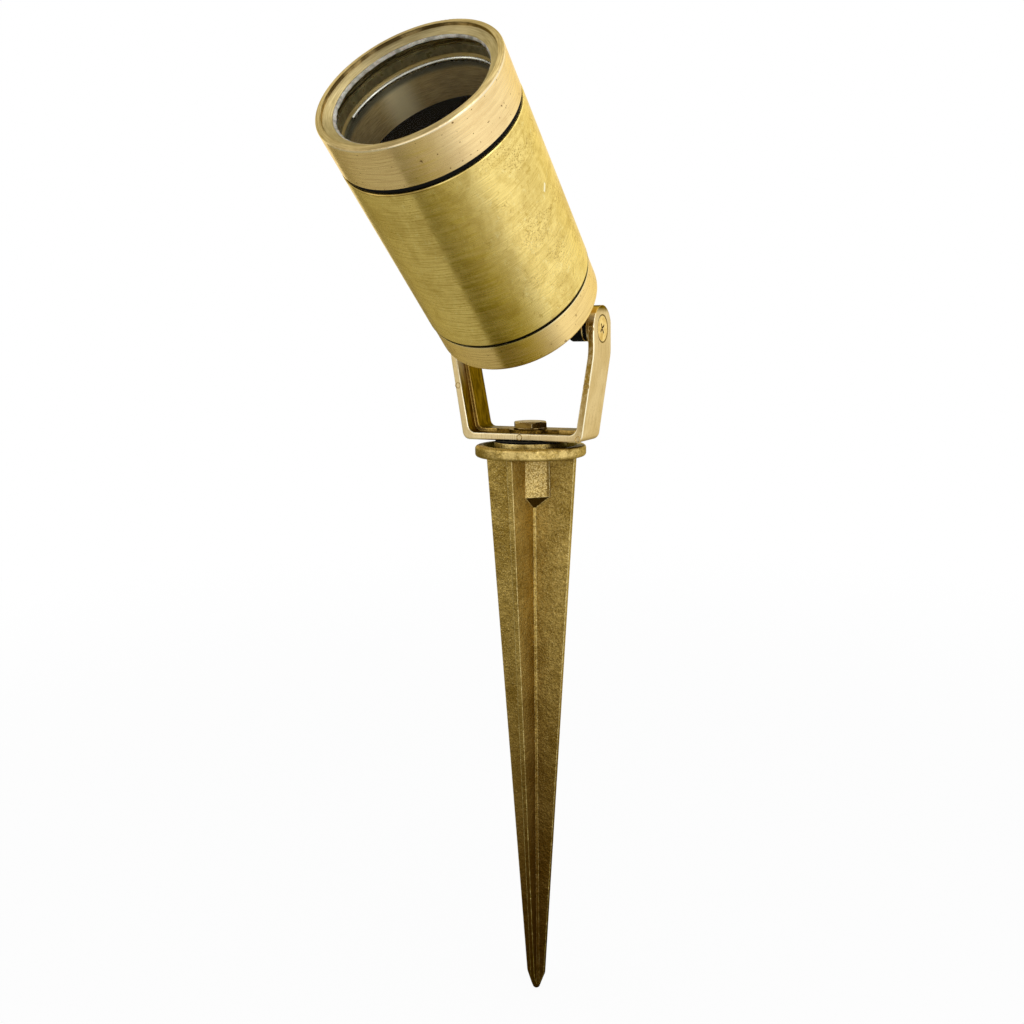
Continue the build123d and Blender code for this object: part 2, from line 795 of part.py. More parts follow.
# ---------------------------------------------------------------- tilt screws with their stacks
tilt_section = Plane(origin=pivot, x_dir=(1, 0, 0), z_dir=(0, -1, 0))
sleeve_bore = screw_radius + seat_gap
screw_face_x = yoke_top_half_span - screw_head_sink
cone_top_x = screw_face_x - screw_head_land
cone_end_x = cone_top_x - (screw_head_radius - screw_radius)
nose_end_x = ear_outer_x + bush_nose_length
shoulder_x = nose_end_x + bush_radius - bush_nose_radius
for side, hand in ((-1, "left"), (1, "right")):
    with BuildPart() as pivot_screw:
        with BuildSketch(tilt_section):
            with BuildLine():
                Polyline(
                    (side * ear_inner_x, 0),
                    (side * ear_inner_x, screw_radius),
                    (side * cone_end_x, screw_radius),
                    (side * cone_top_x, screw_head_radius),
                    (side * screw_face_x, screw_head_radius),
                    (side * screw_face_x, 0),
                    close=True,
                )
            make_face()
        revolve(axis=tilt_axis)
        # cross recess
        with BuildSketch(Plane(origin=(side * screw_face_x, 0, pivot_height), z_dir=(side, 0, 0))):
            Rectangle(cross_length, cross_width, rotation=cross_angle)
            Rectangle(cross_length, cross_width, rotation=cross_angle + 90)
        extrude(amount=-cross_depth, taper=cross_taper, mode=Mode.SUBTRACT)
    pivot_screw.part.label = f"pivot_screw_{hand}"
    export_step(pivot_screw.part, f"parts/pivot_screw_{hand}.step")

    with BuildPart() as tilt_bush:
        with BuildSketch(tilt_section):
            with BuildLine():
                Polyline(
                    (side * nose_end_x, bush_nose_radius),
                    (side * ear_outer_x, bush_nose_radius),
                    (side * ear_outer_x, sleeve_bore),
                    (side * tilt_washer_inner_x, sleeve_bore),
                    (side * tilt_washer_inner_x, bush_radius),
                    (side * shoulder_x, bush_radius),
                )
                RadiusArc(
                    (side * nose_end_x, bush_nose_radius),
                    (side * shoulder_x, bush_radius),
                    side * (bush_radius - bush_nose_radius),
                )
            make_face()
        revolve(axis=tilt_axis)
    tilt_bush.part.label = f"tilt_bush_{hand}"
    export_step(tilt_bush.part, f"parts/tilt_bush_{hand}.step")

    with BuildPart() as tilt_washer:
        with BuildSketch(Plane(origin=(side * tilt_washer_inner_x, 0, pivot_height), z_dir=(side, 0, 0))):
            Circle(tilt_washer_radius)
            Circle(sleeve_bore, mode=Mode.SUBTRACT)
        extrude(amount=tilt_washer_thickness)
    tilt_washer.part.label = f"tilt_washer_{hand}"
    export_step(tilt_washer.part, f"parts/tilt_washer_{hand}.step")

    with BuildPart() as tilt_seal:
        with BuildSketch(Plane(origin=(side * tilt_seal_inner_x, 0, pivot_height), z_dir=(side, 0, 0))):
            Circle(tilt_seal_radius)
            Circle(sleeve_bore, mode=Mode.SUBTRACT)
        extrude(amount=tilt_seal_thickness)
    tilt_seal.part.label = f"tilt_seal_{hand}"
    export_step(tilt_seal.part, f"parts/tilt_seal_{hand}.step")
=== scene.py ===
import json
import math
import random

import bmesh
import bpy
from mathutils import Matrix, Vector


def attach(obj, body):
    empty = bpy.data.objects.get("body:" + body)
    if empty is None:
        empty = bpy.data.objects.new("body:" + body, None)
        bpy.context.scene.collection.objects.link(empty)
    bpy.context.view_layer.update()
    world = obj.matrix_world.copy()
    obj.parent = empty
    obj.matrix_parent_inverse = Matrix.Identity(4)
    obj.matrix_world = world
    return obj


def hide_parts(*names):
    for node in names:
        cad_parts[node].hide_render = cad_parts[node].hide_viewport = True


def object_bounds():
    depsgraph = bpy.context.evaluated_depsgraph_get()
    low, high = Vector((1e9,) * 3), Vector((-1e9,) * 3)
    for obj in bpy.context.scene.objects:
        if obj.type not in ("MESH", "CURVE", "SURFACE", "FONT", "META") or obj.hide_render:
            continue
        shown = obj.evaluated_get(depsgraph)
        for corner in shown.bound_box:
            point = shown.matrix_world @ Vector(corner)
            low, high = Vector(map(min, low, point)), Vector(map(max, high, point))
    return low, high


# Garden spike spotlight in brass. Lengths are written in millimetres and scaled to metres.
MM = 0.001

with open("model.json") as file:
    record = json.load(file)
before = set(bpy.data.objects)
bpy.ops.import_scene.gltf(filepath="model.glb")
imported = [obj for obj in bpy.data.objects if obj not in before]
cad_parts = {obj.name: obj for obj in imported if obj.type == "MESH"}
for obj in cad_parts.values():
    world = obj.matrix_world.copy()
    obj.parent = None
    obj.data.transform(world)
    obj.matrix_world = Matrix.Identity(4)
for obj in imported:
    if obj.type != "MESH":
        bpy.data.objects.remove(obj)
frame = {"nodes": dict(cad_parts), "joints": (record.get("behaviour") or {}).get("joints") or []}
nodes = frame["nodes"]
cad_low, cad_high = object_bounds()

# ---------------------------------------------------------------- the head's own axes
joints = {joint["name"]: joint for joint in frame["joints"]}
PIVOT = Vector(joints["head_tilt"]["pos_m"])
HEAD_UP = Vector(joints["bezel_turn"]["axis"]).normalized()
HEAD_X = Vector((1, 0, 0))
HEAD_SIDE = HEAD_UP.cross(HEAD_X)

# distances along the head's axis from the tilt axis, and radii about it
TUBE_BACK = 25.0 * MM
TUBE_FRONT = 91.1 * MM
TUBE_RADIUS = 30.0 * MM
NECK_BACK = 83.2 * MM
INSIDE_RADIUS = 27.5 * MM
THREAD_INSIDE = 26.6 * MM
THREAD_PITCH = 1.5 * MM
WIRE_BACK = 96.8 * MM
WIRE_SWELL = 0.22 * MM
BEZEL_FRONT = 107.4 * MM
SHOULDER_DEPTH = 1.05 * MM
BEZEL_BORE = 28.4 * MM
LENS_FRONT = 104.5 * MM
LIP_FRONT = 105.3 * MM
APERTURE_RADIUS = 25.05 * MM
RIM_INSIDE = 27.9 * MM

# the light scuff on the tube
SCUFF_ANGLE = math.radians(-4)
SCUFF_DISTANCE = 66.5 * MM
SCUFF_LENGTH = 2.6 * MM

# the yoke and the screws in its arms
YOKE_BOTTOM = 6.12 * MM
YOKE_BEND = 37.7 * MM
YOKE_FOOT = 23.8 * MM
YOKE_TOP = 28.8 * MM
YOKE_FRONT = -8.3 * MM
YOKE_LEAN = (YOKE_TOP - YOKE_FOOT) / (YOKE_BEND - YOKE_BOTTOM)
ARM_THICKNESS = 2.4 * MM
BASE_THICKNESS = 2.65 * MM
BASE_TOP = YOKE_BOTTOM + BASE_THICKNESS
PAD_REACH = 13.0 * MM
OUTER_RIB = 6.0 * MM
SCREW_HEAD = 4.6 * MM

# the square column under the spike's collar, and where the fins darken
COLUMN_FACE = 7.2 * MM
COLUMN_END = -14.75 * MM
POINT_HEIGHT = 7.0 * MM
DARK_FROM = -40.0 * MM
DARK_TO = -195.0 * MM


def head_point(radius, angle, distance):
    """Point at a radius and angle about the head's axis."""
    return PIVOT + HEAD_UP * distance + (HEAD_X * math.cos(angle) + HEAD_SIDE * math.sin(angle)) * radius


# ---------------------------------------------------------------- shader graph helpers
class Tree:
    """A node tree with its output node, and short calls for the nodes used here."""

    def __init__(self, tree, output):
        self.tree = tree
        self.tree.nodes.clear()
        self.output = self.tree.nodes.new(output)

    def add(self, kind, inputs=None, **settings):
        node = self.tree.nodes.new(kind)
        for key, value in settings.items():
            setattr(node, key, value)
        for key, value in (inputs or {}).items():
            self.set(node.inputs[key], value)
        return node

    def set(self, socket, value):
        if isinstance(value, bpy.types.NodeSocket):
            self.tree.links.new(value, socket)
        else:
            socket.default_value = value

    def math(self, operation, first, second=0.0, third=0.0, clamp=False):
        node = self.add("ShaderNodeMath", operation=operation, use_clamp=clamp)
        for socket, value in zip(node.inputs, (first, second, third)):
            self.set(socket, value)
        return node.outputs[0]

    def sees_backdrop(self):
        """1 for rays that see the backdrop straight, in metal or through glass."""
        path = self.add("ShaderNodeLightPath").outputs
        through = self.math("MAXIMUM", path["Is Glossy Ray"], path["Is Transmission Ray"])
        return self.math("MAXIMUM", path["Is Camera Ray"], through)

    def show(self, shader):
        self.tree.links.new(shader.outputs[0], self.output.inputs["Surface"])

    def show_mixed(self, factor, first, second):
        mixed = self.add("ShaderNodeMixShader", {"Fac": factor})
        self.tree.links.new(first.outputs[0], mixed.inputs[1])
        self.tree.links.new(second.outputs[0], mixed.inputs[2])
        self.show(mixed)


class Graph(Tree):
    """One material's node tree."""

    def __init__(self, name):
        self.material = bpy.data.materials.new(name)
        self.material.use_nodes = True
        super().__init__(self.material.node_tree, "ShaderNodeOutputMaterial")
        texture = self.add("ShaderNodeTexCoord").outputs
        self.coords = texture["Object"]
        self.facing = texture["Normal"]

    def vector(self, operation, first, second=(0, 0, 0)):
        node = self.add("ShaderNodeVectorMath", operation=operation)
        self.set(node.inputs[0], first)
        self.set(node.inputs[1], second)
        result = "Value" if operation in ("DOT_PRODUCT", "LENGTH", "DISTANCE") else "Vector"
        return node.outputs[result]

    def combine(self, x=0.0, y=0.0, z=0.0):
        return self.add("ShaderNodeCombineXYZ", {"X": x, "Y": y, "Z": z}).outputs[0]

    def split(self, vector):
        return self.add("ShaderNodeSeparateXYZ", {"Vector": vector}).outputs

    def noise(self, scale, detail=3.0, roughness=0.5, distortion=0.0, vector=None):
        inputs = {
            "Vector": self.coords if vector is None else vector,
            "Scale": scale,
            "Detail": detail,
            "Roughness": roughness,
            "Distortion": distortion,
        }
        return self.add("ShaderNodeTexNoise", inputs).outputs[0]

    def step(self, value, low, high, start=0.0, end=1.0):
        """Smooth change from start to end while value goes from low to high."""
        node = self.add("ShaderNodeMapRange", interpolation_type="SMOOTHSTEP")
        for key, given in (
            ("Value", value),
            ("From Min", low),
            ("From Max", high),
            ("To Min", start),
            ("To Max", end),
        ):
            self.set(node.inputs[key], given)
        return node.outputs[0]

    def band(self, value, low, high, softness):
        """1 while value lies between low and high."""
        rising = self.step(value, low - softness, low + softness)
        return self.math("MULTIPLY", rising, self.step(value, high - softness, high + softness, 1.0, 0.0))

    def both(self, first, second):
        return self.math("MULTIPLY", first, second)

    def mix(self, factor, first, second):
        """Colour between two colours."""
        node = self.add("ShaderNodeMix", data_type="RGBA")
        self.set(node.inputs["Factor"], factor)
        colour_sockets = [socket for socket in node.inputs if socket.type == "RGBA"]
        self.set(colour_sockets[0], first)
        self.set(colour_sockets[1], second)
        return [socket for socket in node.outputs if socket.type == "RGBA"][0]

    def blend(self, factor, first, second):
        """Number between two numbers."""
        return self.math("MULTIPLY_ADD", factor, self.math("SUBTRACT", second, first), first)

    def bump(self, height, distance, strength=1.0, normal=None):
        inputs = {"Height": height, "Distance": distance, "Strength": strength}
        if normal is not None:
            inputs["Normal"] = normal
        return self.add("ShaderNodeBump", inputs).outputs[0]

    def surface(self, **inputs):
        self.show(self.add("ShaderNodeBsdfPrincipled", inputs))
        return self.material


def colour(red, green, blue):
    """Linear colour from three sRGB values of 0 to 255."""
    def linear(value):
        value /= 255
        return value / 12.92 if value <= 0.04045 else ((value + 0.055) / 1.055) ** 2.4

    return (linear(red), linear(green), linear(blue), 1.0)


class HeadGraph(Graph):
    """Graph of a turned piece of the head, with coordinates about the head's axis."""

    def __init__(self, name):
        super().__init__(name)
        place = self.vector("SUBTRACT", self.coords, tuple(PIVOT))
        self.distance = self.vector("DOT_PRODUCT", place, tuple(HEAD_UP))
        x = self.vector("DOT_PRODUCT", place, tuple(HEAD_X))
        side = self.vector("DOT_PRODUCT", place, tuple(HEAD_SIDE))
        squares = self.math("ADD", self.both(x, x), self.both(side, side))
        self.radius = self.math("SQRT", squares)
        self.angle = self.math("ARCTAN2", side, x)
        round_axis = self.vector("CROSS_PRODUCT", tuple(HEAD_UP), place)
        to_world = self.add(
            "ShaderNodeVectorTransform",
            {"Vector": round_axis},
            vector_type="VECTOR",
            convert_from="OBJECT",
            convert_to="WORLD",
        )
        normal = self.add("ShaderNodeNewGeometry").outputs["Normal"]
        across = self.vector("CROSS_PRODUCT", normal, to_world.outputs[0])
        self.tangent = self.vector("NORMALIZE", across)

    def brushing(self, lines_per_mm, length_mm, seed=0.0):
        """Fine lines that run round the axis, as a lathe or a brush leaves them."""
        unit = self.combine(
            self.math("MULTIPLY", self.math("COSINE", self.angle), 30.0 / length_mm),
            self.math("MULTIPLY", self.math("SINE", self.angle), 30.0 / length_mm),
            self.math("MULTIPLY_ADD", self.math("ADD", self.distance, self.radius), lines_per_mm / MM, seed),
        )
        return self.noise(1.0, detail=4.0, roughness=0.65, vector=unit)


# ---------------------------------------------------------------- materials
# brass keeps its colour where it is seen at a low angle
EDGE_TINT = (1.0, 0.86, 0.5, 1.0)
YOKE_EDGE_TINT = (0.8, 0.66, 0.36, 1.0)


def pits(graph, scale, share, softness=0.05):
    """Scattered small dark dots: 1 in a pit, 0 elsewhere."""
    dots = graph.noise(scale, detail=1.0, roughness=0.4)
    return graph.step(dots, share, share + softness)


def occlusion_shade(graph, distance, low=0.75, high=0.25):
    """Painted shade: 1 deep in a corner or a gap, 0 in the open."""
    open_sky = graph.add("ShaderNodeAmbientOcclusion", {"Distance": distance}, samples=8).outputs["AO"]
    return graph.step(open_sky, low, high)


def worn_edges(graph, radius):
    """1 on sharp edges and 0 on flats, and a normal that rounds the edges."""
    rounded = graph.add("ShaderNodeBevel", {"Radius": radius}, samples=6).outputs[0]
    normal = graph.add("ShaderNodeNewGeometry").outputs["Normal"]
    flatness = graph.vector("DOT_PRODUCT", rounded, normal)
    return graph.step(flatness, 0.995, 0.93), rounded


def contour_lines(graph, scale, seed, width=0.02):
    """Thin wandering lines."""
    shifted = graph.vector("ADD", graph.coords, (seed, 0.0, 0.0))
    value = graph.noise(scale, detail=3.0, roughness=0.6, distortion=0.6, vector=shifted)
    away = graph.math("ABSOLUTE", graph.math("SUBTRACT", value, 0.5))
    return graph.step(away, width, 0.0)


def turned_brass(name, light, dark, seed):
    """Turned and brushed brass: fine lines round the axis and faint blotches."""
    graph = HeadGraph(name)
    fine = graph.brushing(6.0, 8.0, seed)
    coarse = graph.brushing(1.5, 16.0, seed + 7.0)
    clouds = graph.noise(110.0, detail=5.0, roughness=0.62, distortion=0.4)
    base = graph.mix(graph.step(coarse, 0.38, 0.66, 0.0, 0.24), light, dark)
    base = graph.mix(graph.step(fine, 0.50, 0.70, 0.0, 0.30), base, dark)
    base = graph.mix(graph.step(clouds, 0.45, 0.75, 0.0, 0.22), base, dark)
    lines = graph.both(graph.math("ADD", fine, coarse), 0.5)
    roughness = graph.step(lines, 0.36, 0.62, 0.15, 0.34)
    height = graph.math("ADD", fine, graph.math("MULTIPLY", coarse, 0.5))
    normal = graph.bump(height, 0.006 * MM, 0.7)
    return graph, base, roughness, normal


def brushed_surface(graph, base, metal, roughness, normal):
    return graph.surface(**{
        "Base Color": base,
        "Metallic": metal,
        "Roughness": roughness,
        "Normal": normal,
        "Anisotropic": 0.85,
        "Tangent": graph.tangent,
        "Specular IOR Level": 0.05,
        "Specular Tint": EDGE_TINT,
    })


def cast_surface(graph, base, roughness, normal, edge_tint=EDGE_TINT):
    return graph.surface(**{
        "Base Color": base,
        "Metallic": 1.0,
        "Roughness": roughness,
        "Normal": normal,
        "Specular Tint": edge_tint,
    })


def tube_material():
    dark = colour(178, 146, 54)
    graph, base, roughness, normal = turned_brass("tube_brass", colour(255, 230, 144), dark, 3.0)
    inside = graph.step(graph.radius, INSIDE_RADIUS, INSIDE_RADIUS - 0.2 * MM)
    outside = graph.math("SUBTRACT", 1.0, inside)
    # old tarnish: faint blotches and wandering lines all over, a rash of pits on the right side
    blotches = graph.noise(85.0, detail=6.0, roughness=0.7, distortion=0.8)
    base = graph.mix(graph.both(outside, graph.step(blotches, 0.46, 0.62, 0.0, 0.30)), base, dark)
    facing_right = graph.step(graph.angle, math.radians(-62), math.radians(-30), 0.3, 1.0)
    where = graph.step(graph.noise(75.0, detail=4.0), 0.40, 0.6)
    lines = graph.math("MAXIMUM", contour_lines(graph, 330.0, 0.0), contour_lines(graph, 520.0, 0.7))
    lines = graph.both(graph.both(lines, graph.both(where, facing_right)), outside)
    base = graph.mix(graph.both(lines, 0.4), base, colour(164, 124, 40))
    small = pits(graph, 2600.0, 0.58)
    large = pits(graph, 1500.0, 0.64)
    rash = graph.both(graph.step(graph.noise(95.0, detail=4.0), 0.46, 0.62), facing_right)
    spots = graph.both(graph.math("MAXIMUM", small, large), graph.math("MAXIMUM", rash, 0.12))
    spots = graph.both(spots, outside)
    base = graph.mix(graph.both(spots, 0.6), base, colour(132, 98, 30))
    # short scratches that cross the brushing
    slanted = graph.vector("MULTIPLY", graph.coords, (900.0, 420.0, 300.0))
    scratches = graph.noise(1.0, detail=3.0, roughness=0.8, distortion=0.8, vector=slanted)
    base = graph.mix(graph.step(scratches, 0.58, 0.68, 0.0, 0.5), base, colour(255, 240, 170))
    base = graph.mix(graph.both(outside, graph.step(scratches, 0.42, 0.32, 0.0, 0.46)), base, dark)
    # one light scuff, longer than wide
    place = head_point(TUBE_RADIUS, SCUFF_ANGLE, SCUFF_DISTANCE)
    away = graph.vector("SUBTRACT", graph.coords, tuple(place))
    along = graph.vector("DOT_PRODUCT", away, (0.0, 0.25, 0.97))
    across = graph.vector("LENGTH", graph.vector("MULTIPLY", away, (1.0, 1.0, 0.0)))
    inner = graph.band(along, -SCUFF_LENGTH / 2, SCUFF_LENGTH / 2, 0.2 * MM)
    scuff = graph.both(inner, graph.step(across, 0.62 * MM, 0.4 * MM))
    base = graph.mix(scuff, base, colour(255, 246, 206))
    # painted shade darkens the front edge on its lower left
    front_edge = graph.both(outside, graph.step(graph.distance, TUBE_FRONT - 0.7 * MM, TUBE_FRONT - 0.3 * MM))
    lower_left = graph.step(graph.angle, math.radians(-62), math.radians(-74))
    base = graph.mix(graph.both(graph.both(front_edge, lower_left), 0.75), base, colour(120, 92, 34))
    # painted shade: a near-black band on the tube beside the joint with the rear cap
    joint = graph.both(outside, graph.step(graph.distance, TUBE_BACK + 0.95 * MM, TUBE_BACK + 0.6 * MM))
    base = graph.mix(joint, base, colour(8, 6, 2))
    # the bore behind the neck is near-black
    behind = graph.step(graph.distance, NECK_BACK + 0.1 * MM, NECK_BACK - 0.1 * MM)
    black = graph.both(inside, behind)
    neck = graph.both(inside, graph.math("SUBTRACT", 1.0, behind))
    streaks = graph.step(graph.brushing(4.0, 5.0, 60.0), 0.35, 0.65)
    # painted highlight: a light band on the neck wall at one angle round the bore
    painted_highlight = graph.band(graph.angle, math.radians(126), math.radians(146), math.radians(8))
    wall = graph.mix(streaks, colour(206, 182, 128), colour(168, 144, 94))
    wall = graph.mix(graph.both(painted_highlight, 0.8), wall, colour(255, 240, 196))
    # painted shadow of the wire makes the wall grey behind the wire; in front of it the wall is golden
    grey_start = graph.step(graph.distance, WIRE_BACK - 3.8 * MM, WIRE_BACK - 2.0 * MM)
    grey_end = graph.step(graph.distance, WIRE_BACK + 0.2 * MM, WIRE_BACK - 0.2 * MM)
    wire_shadow = graph.both(grey_start, grey_end)
    wall = graph.mix(graph.both(wire_shadow, 0.85), wall, colour(92, 94, 80))
    before_wire = graph.step(graph.distance, WIRE_BACK + 0.6 * MM, WIRE_BACK + 0.9 * MM)
    wall = graph.mix(before_wire, wall, colour(222, 196, 134))
    base = graph.mix(neck, base, wall)
    base = graph.mix(black, base, (0.024, 0.016, 0.008, 1.0))
    metal = graph.math("SUBTRACT", 1.0, black)
    metal = graph.blend(neck, metal, 0.7)
    roughness = graph.math("ADD", roughness, graph.both(spots, 0.2))
    roughness = graph.blend(neck, roughness, 0.42)
    roughness = graph.blend(black, roughness, 0.7)
    # thread on the outside of the neck
    turn = graph.math("DIVIDE", graph.angle, 2 * math.pi)
    phase = graph.math("ADD", graph.math("DIVIDE", graph.distance, THREAD_PITCH), turn)
    wave = graph.math("PINGPONG", phase, 0.5)
    neck_outside = graph.step(graph.radius, THREAD_INSIDE, THREAD_INSIDE + 0.3 * MM)
    ahead = graph.step(graph.distance, TUBE_FRONT + 0.1 * MM, TUBE_FRONT + 0.3 * MM)
    threaded = graph.both(neck_outside, ahead)
    normal = graph.bump(graph.both(wave, threaded), 0.8 * MM, 1.0, normal)
    return brushed_surface(graph, base, metal, roughness, normal)


def bezel_material():
    dark = colour(188, 148, 88)
    graph, base, roughness, normal = turned_brass("bezel_brass", colour(255, 227, 166), dark, 11.0)
    base = graph.mix(graph.both(pits(graph, 900.0, 0.738, 0.012), 0.85), base, colour(112, 76, 38))
    # the rim keeps a skin of old tarnish, and the ledge inside it is dull
    rough = graph.noise(900.0, detail=4.0, roughness=0.7)
    streaks = graph.brushing(2.6, 7.0, 40.0)
    olive, brown = colour(178, 160, 110), colour(128, 108, 62)
    skin = graph.mix(graph.step(streaks, 0.35, 0.65), olive, brown)
    rim = graph.step(graph.distance, BEZEL_FRONT - 0.5 * MM, BEZEL_FRONT - 0.2 * MM)
    base = graph.mix(graph.both(rim, 0.85), base, skin)
    front_zone = graph.step(graph.distance, LENS_FRONT, LENS_FRONT + 0.3 * MM)
    inner_side = graph.step(graph.radius, RIM_INSIDE + 0.05 * MM, RIM_INSIDE - 0.05 * MM)
    ledge = graph.both(front_zone, inner_side)
    dull = graph.mix(graph.step(streaks, 0.3, 0.7), colour(180, 164, 120), colour(146, 130, 88))
    base = graph.mix(ledge, base, dull)
    # painted highlight along the outer shoulder behind the rim, and the bore is dull
    shoulder = graph.band(graph.distance, BEZEL_FRONT - SHOULDER_DEPTH, BEZEL_FRONT - 0.5 * MM, 0.12 * MM)
    shoulder = graph.both(shoulder, graph.step(graph.radius, RIM_INSIDE + 0.3 * MM, RIM_INSIDE + 0.6 * MM))
    base = graph.mix(graph.both(shoulder, 0.5), base, colour(255, 248, 222))
    hidden = graph.step(graph.distance, LENS_FRONT - 0.1 * MM, LENS_FRONT - 0.4 * MM)
    bore = graph.both(hidden, graph.step(graph.radius, BEZEL_BORE, BEZEL_BORE - 0.3 * MM))
    bore_tone = graph.mix(graph.step(streaks, 0.3, 0.7), colour(182, 168, 124), colour(136, 124, 84))
    base = graph.mix(bore, base, bore_tone)
    # a dark, broken line lies in the corner between rim and ledge
    foot = graph.math("ABSOLUTE", graph.math("SUBTRACT", graph.radius, RIM_INSIDE))
    line = graph.both(graph.step(foot, 0.22 * MM, 0.05 * MM), front_zone)
    line = graph.both(line, graph.step(graph.noise(160.0), 0.40, 0.6, 0.1, 0.8))
    base = graph.mix(line, base, colour(84, 66, 30))
    worn = graph.math("MAXIMUM", ledge, rim)
    roughness = graph.math("ADD", roughness, graph.both(worn, 0.16))
    normal = graph.bump(graph.both(rough, worn), 0.04 * MM, 0.6, normal)
    return brushed_surface(graph, base, 1.0, roughness, normal)


def cap_material():
    light, dark = colour(252, 222, 150), colour(168, 130, 60)
    graph, base, roughness, normal = turned_brass("cap_brass", light, dark, 23.0)
    base = graph.mix(graph.both(pits(graph, 700.0, 0.70, 0.03), 0.6), base, colour(120, 84, 40))
    # painted highlight along the edge at the joint
    painted_highlight = graph.step(graph.distance, TUBE_BACK - 1.35 * MM, TUBE_BACK - 1.15 * MM)
    base = graph.mix(graph.both(painted_highlight, 0.6), base, colour(255, 240, 190))
    return brushed_surface(graph, base, 1.0, roughness, normal)


def yoke_material():
    graph = Graph("yoke_brass")
    edges, rounded = worn_edges(graph, 0.5 * MM)
    grain = graph.noise(1500.0, detail=4.0, roughness=0.7)
    clouds = graph.noise(70.0, detail=4.0, roughness=0.6)
    x, y, z = graph.split(graph.coords)
    sideways, forwards, upwards = graph.split(graph.facing)
    reach = graph.math("ABSOLUTE", x)
    base = graph.mix(graph.step(clouds, 0.4, 0.65), colour(236, 214, 164), colour(222, 198, 146))
    base = graph.mix(graph.step(grain, 0.55, 0.75, 0.0, 0.45), base, colour(168, 138, 74))
    # the front and back faces are ground, with upright marks
    front = graph.math("ABSOLUTE", forwards)
    outer_rib = graph.step(graph.math("ABSOLUTE", y), OUTER_RIB, OUTER_RIB + 0.8 * MM)
    ground_face = graph.both(graph.step(front, 0.90, 0.98), outer_rib)
    stretched = graph.vector("MULTIPLY", graph.coords, (2200.0, 1.0, 160.0))
    marks = graph.noise(1.0, detail=3.0, roughness=0.6, vector=stretched)
    marks = graph.both(marks, ground_face)
    base = graph.mix(graph.step(marks, 0.5, 0.7, 0.0, 0.5), base, colour(176, 146, 78))
    # the arms' outer faces have fine upright strokes
    outside_face = graph.step(graph.math("ABSOLUTE", sideways), 0.8, 0.95)
    upright = graph.vector("MULTIPLY", graph.coords, (1.0, 1500.0, 110.0))
    strokes = graph.both(graph.noise(1.0, detail=3.0, roughness=0.65, vector=upright), outside_face)
    base = graph.mix(graph.step(strokes, 0.48, 0.68, 0.0, 0.55), base, colour(190, 164, 112))
    # the right arm's ground faces darken upwards, and the left arm's are a little darker
    right_arm = graph.both(graph.step(x, 18.0 * MM, 25.0 * MM), ground_face)
    right_arm_darkening = graph.both(right_arm, graph.step(z, 6.0 * MM, 30.0 * MM, 0.55, 1.0))
    mottle = graph.step(graph.noise(620.0, detail=4.0, roughness=0.7), 0.36, 0.56, 0.55, 1.0)
    base = graph.mix(graph.both(right_arm_darkening, mottle), base, colour(150, 118, 44))
    left_arm = graph.both(graph.step(x, -18.0 * MM, -22.0 * MM), ground_face)
    base = graph.mix(graph.both(left_arm, 0.4), base, colour(190, 168, 116))
    # inside the bow the casting keeps its dark skin, darkened further with painted shade
    rise = graph.math("SUBTRACT", z, YOKE_BOTTOM)
    arm_inside = graph.math("MULTIPLY_ADD", rise, YOKE_LEAN, YOKE_FOOT - ARM_THICKNESS)
    between_arms = graph.step(graph.math("SUBTRACT", arm_inside, reach), -0.2 * MM, 0.2 * MM)
    above_base = graph.step(z, BASE_TOP - 0.6 * MM, BASE_TOP - 0.3 * MM)
    in_bow = graph.both(between_arms, above_base)
    skin = graph.both(in_bow, graph.step(front, 0.7, 0.3))
    lengthwise = graph.vector("MULTIPLY", graph.coords, (900.0, 900.0, 60.0))
    skin_strokes = graph.noise(1.0, detail=3.0, roughness=0.6, vector=lengthwise)
    skin_and_shade_tone = graph.mix(graph.step(skin_strokes, 0.38, 0.62), colour(118, 90, 26), colour(70, 50, 10))
    base = graph.mix(skin, base, skin_and_shade_tone)
    # painted shade on the bow's upward faces under the head
    bow_floor = graph.both(in_bow, graph.step(upwards, 0.5, 0.8))
    base = graph.mix(bow_floor, base, colour(52, 36, 10))
    rib_front = graph.math("SUBTRACT", graph.step(front, 0.7, 0.95), ground_face)
    rib_tone = graph.mix(graph.step(grain, 0.4, 0.6), colour(206, 168, 78), colour(140, 108, 40))
    base = graph.mix(graph.both(graph.both(in_bow, rib_front), 0.9), base, rib_tone)
    # painted highlight along the rounded edges: near white along the ground faces, golden on the inner rib;
    # the sharp edges are lightened as wear and as painted highlight
    painted_highlight = graph.both(graph.step(front, 0.25, 0.5), graph.step(front, 0.98, 0.9))
    highlight_tone = graph.mix(outer_rib, colour(206, 168, 78), colour(255, 246, 214))
    base = graph.mix(graph.both(painted_highlight, 0.85), base, highlight_tone)
    edge_tone = graph.mix(outer_rib, colour(214, 178, 90), colour(255, 242, 206))
    base = graph.mix(graph.both(edges, 0.7), base, edge_tone)
    # the swivel pad is dark
    near_bolt = graph.step(reach, PAD_REACH, PAD_REACH - 0.5 * MM)
    pad = graph.both(near_bolt, graph.step(z, BASE_TOP - 0.1 * MM, BASE_TOP + 0.1 * MM))
    pad_tone = graph.mix(graph.step(grain, 0.4, 0.6), colour(130, 100, 38), colour(64, 46, 12))
    base = graph.mix(pad, base, pad_tone)
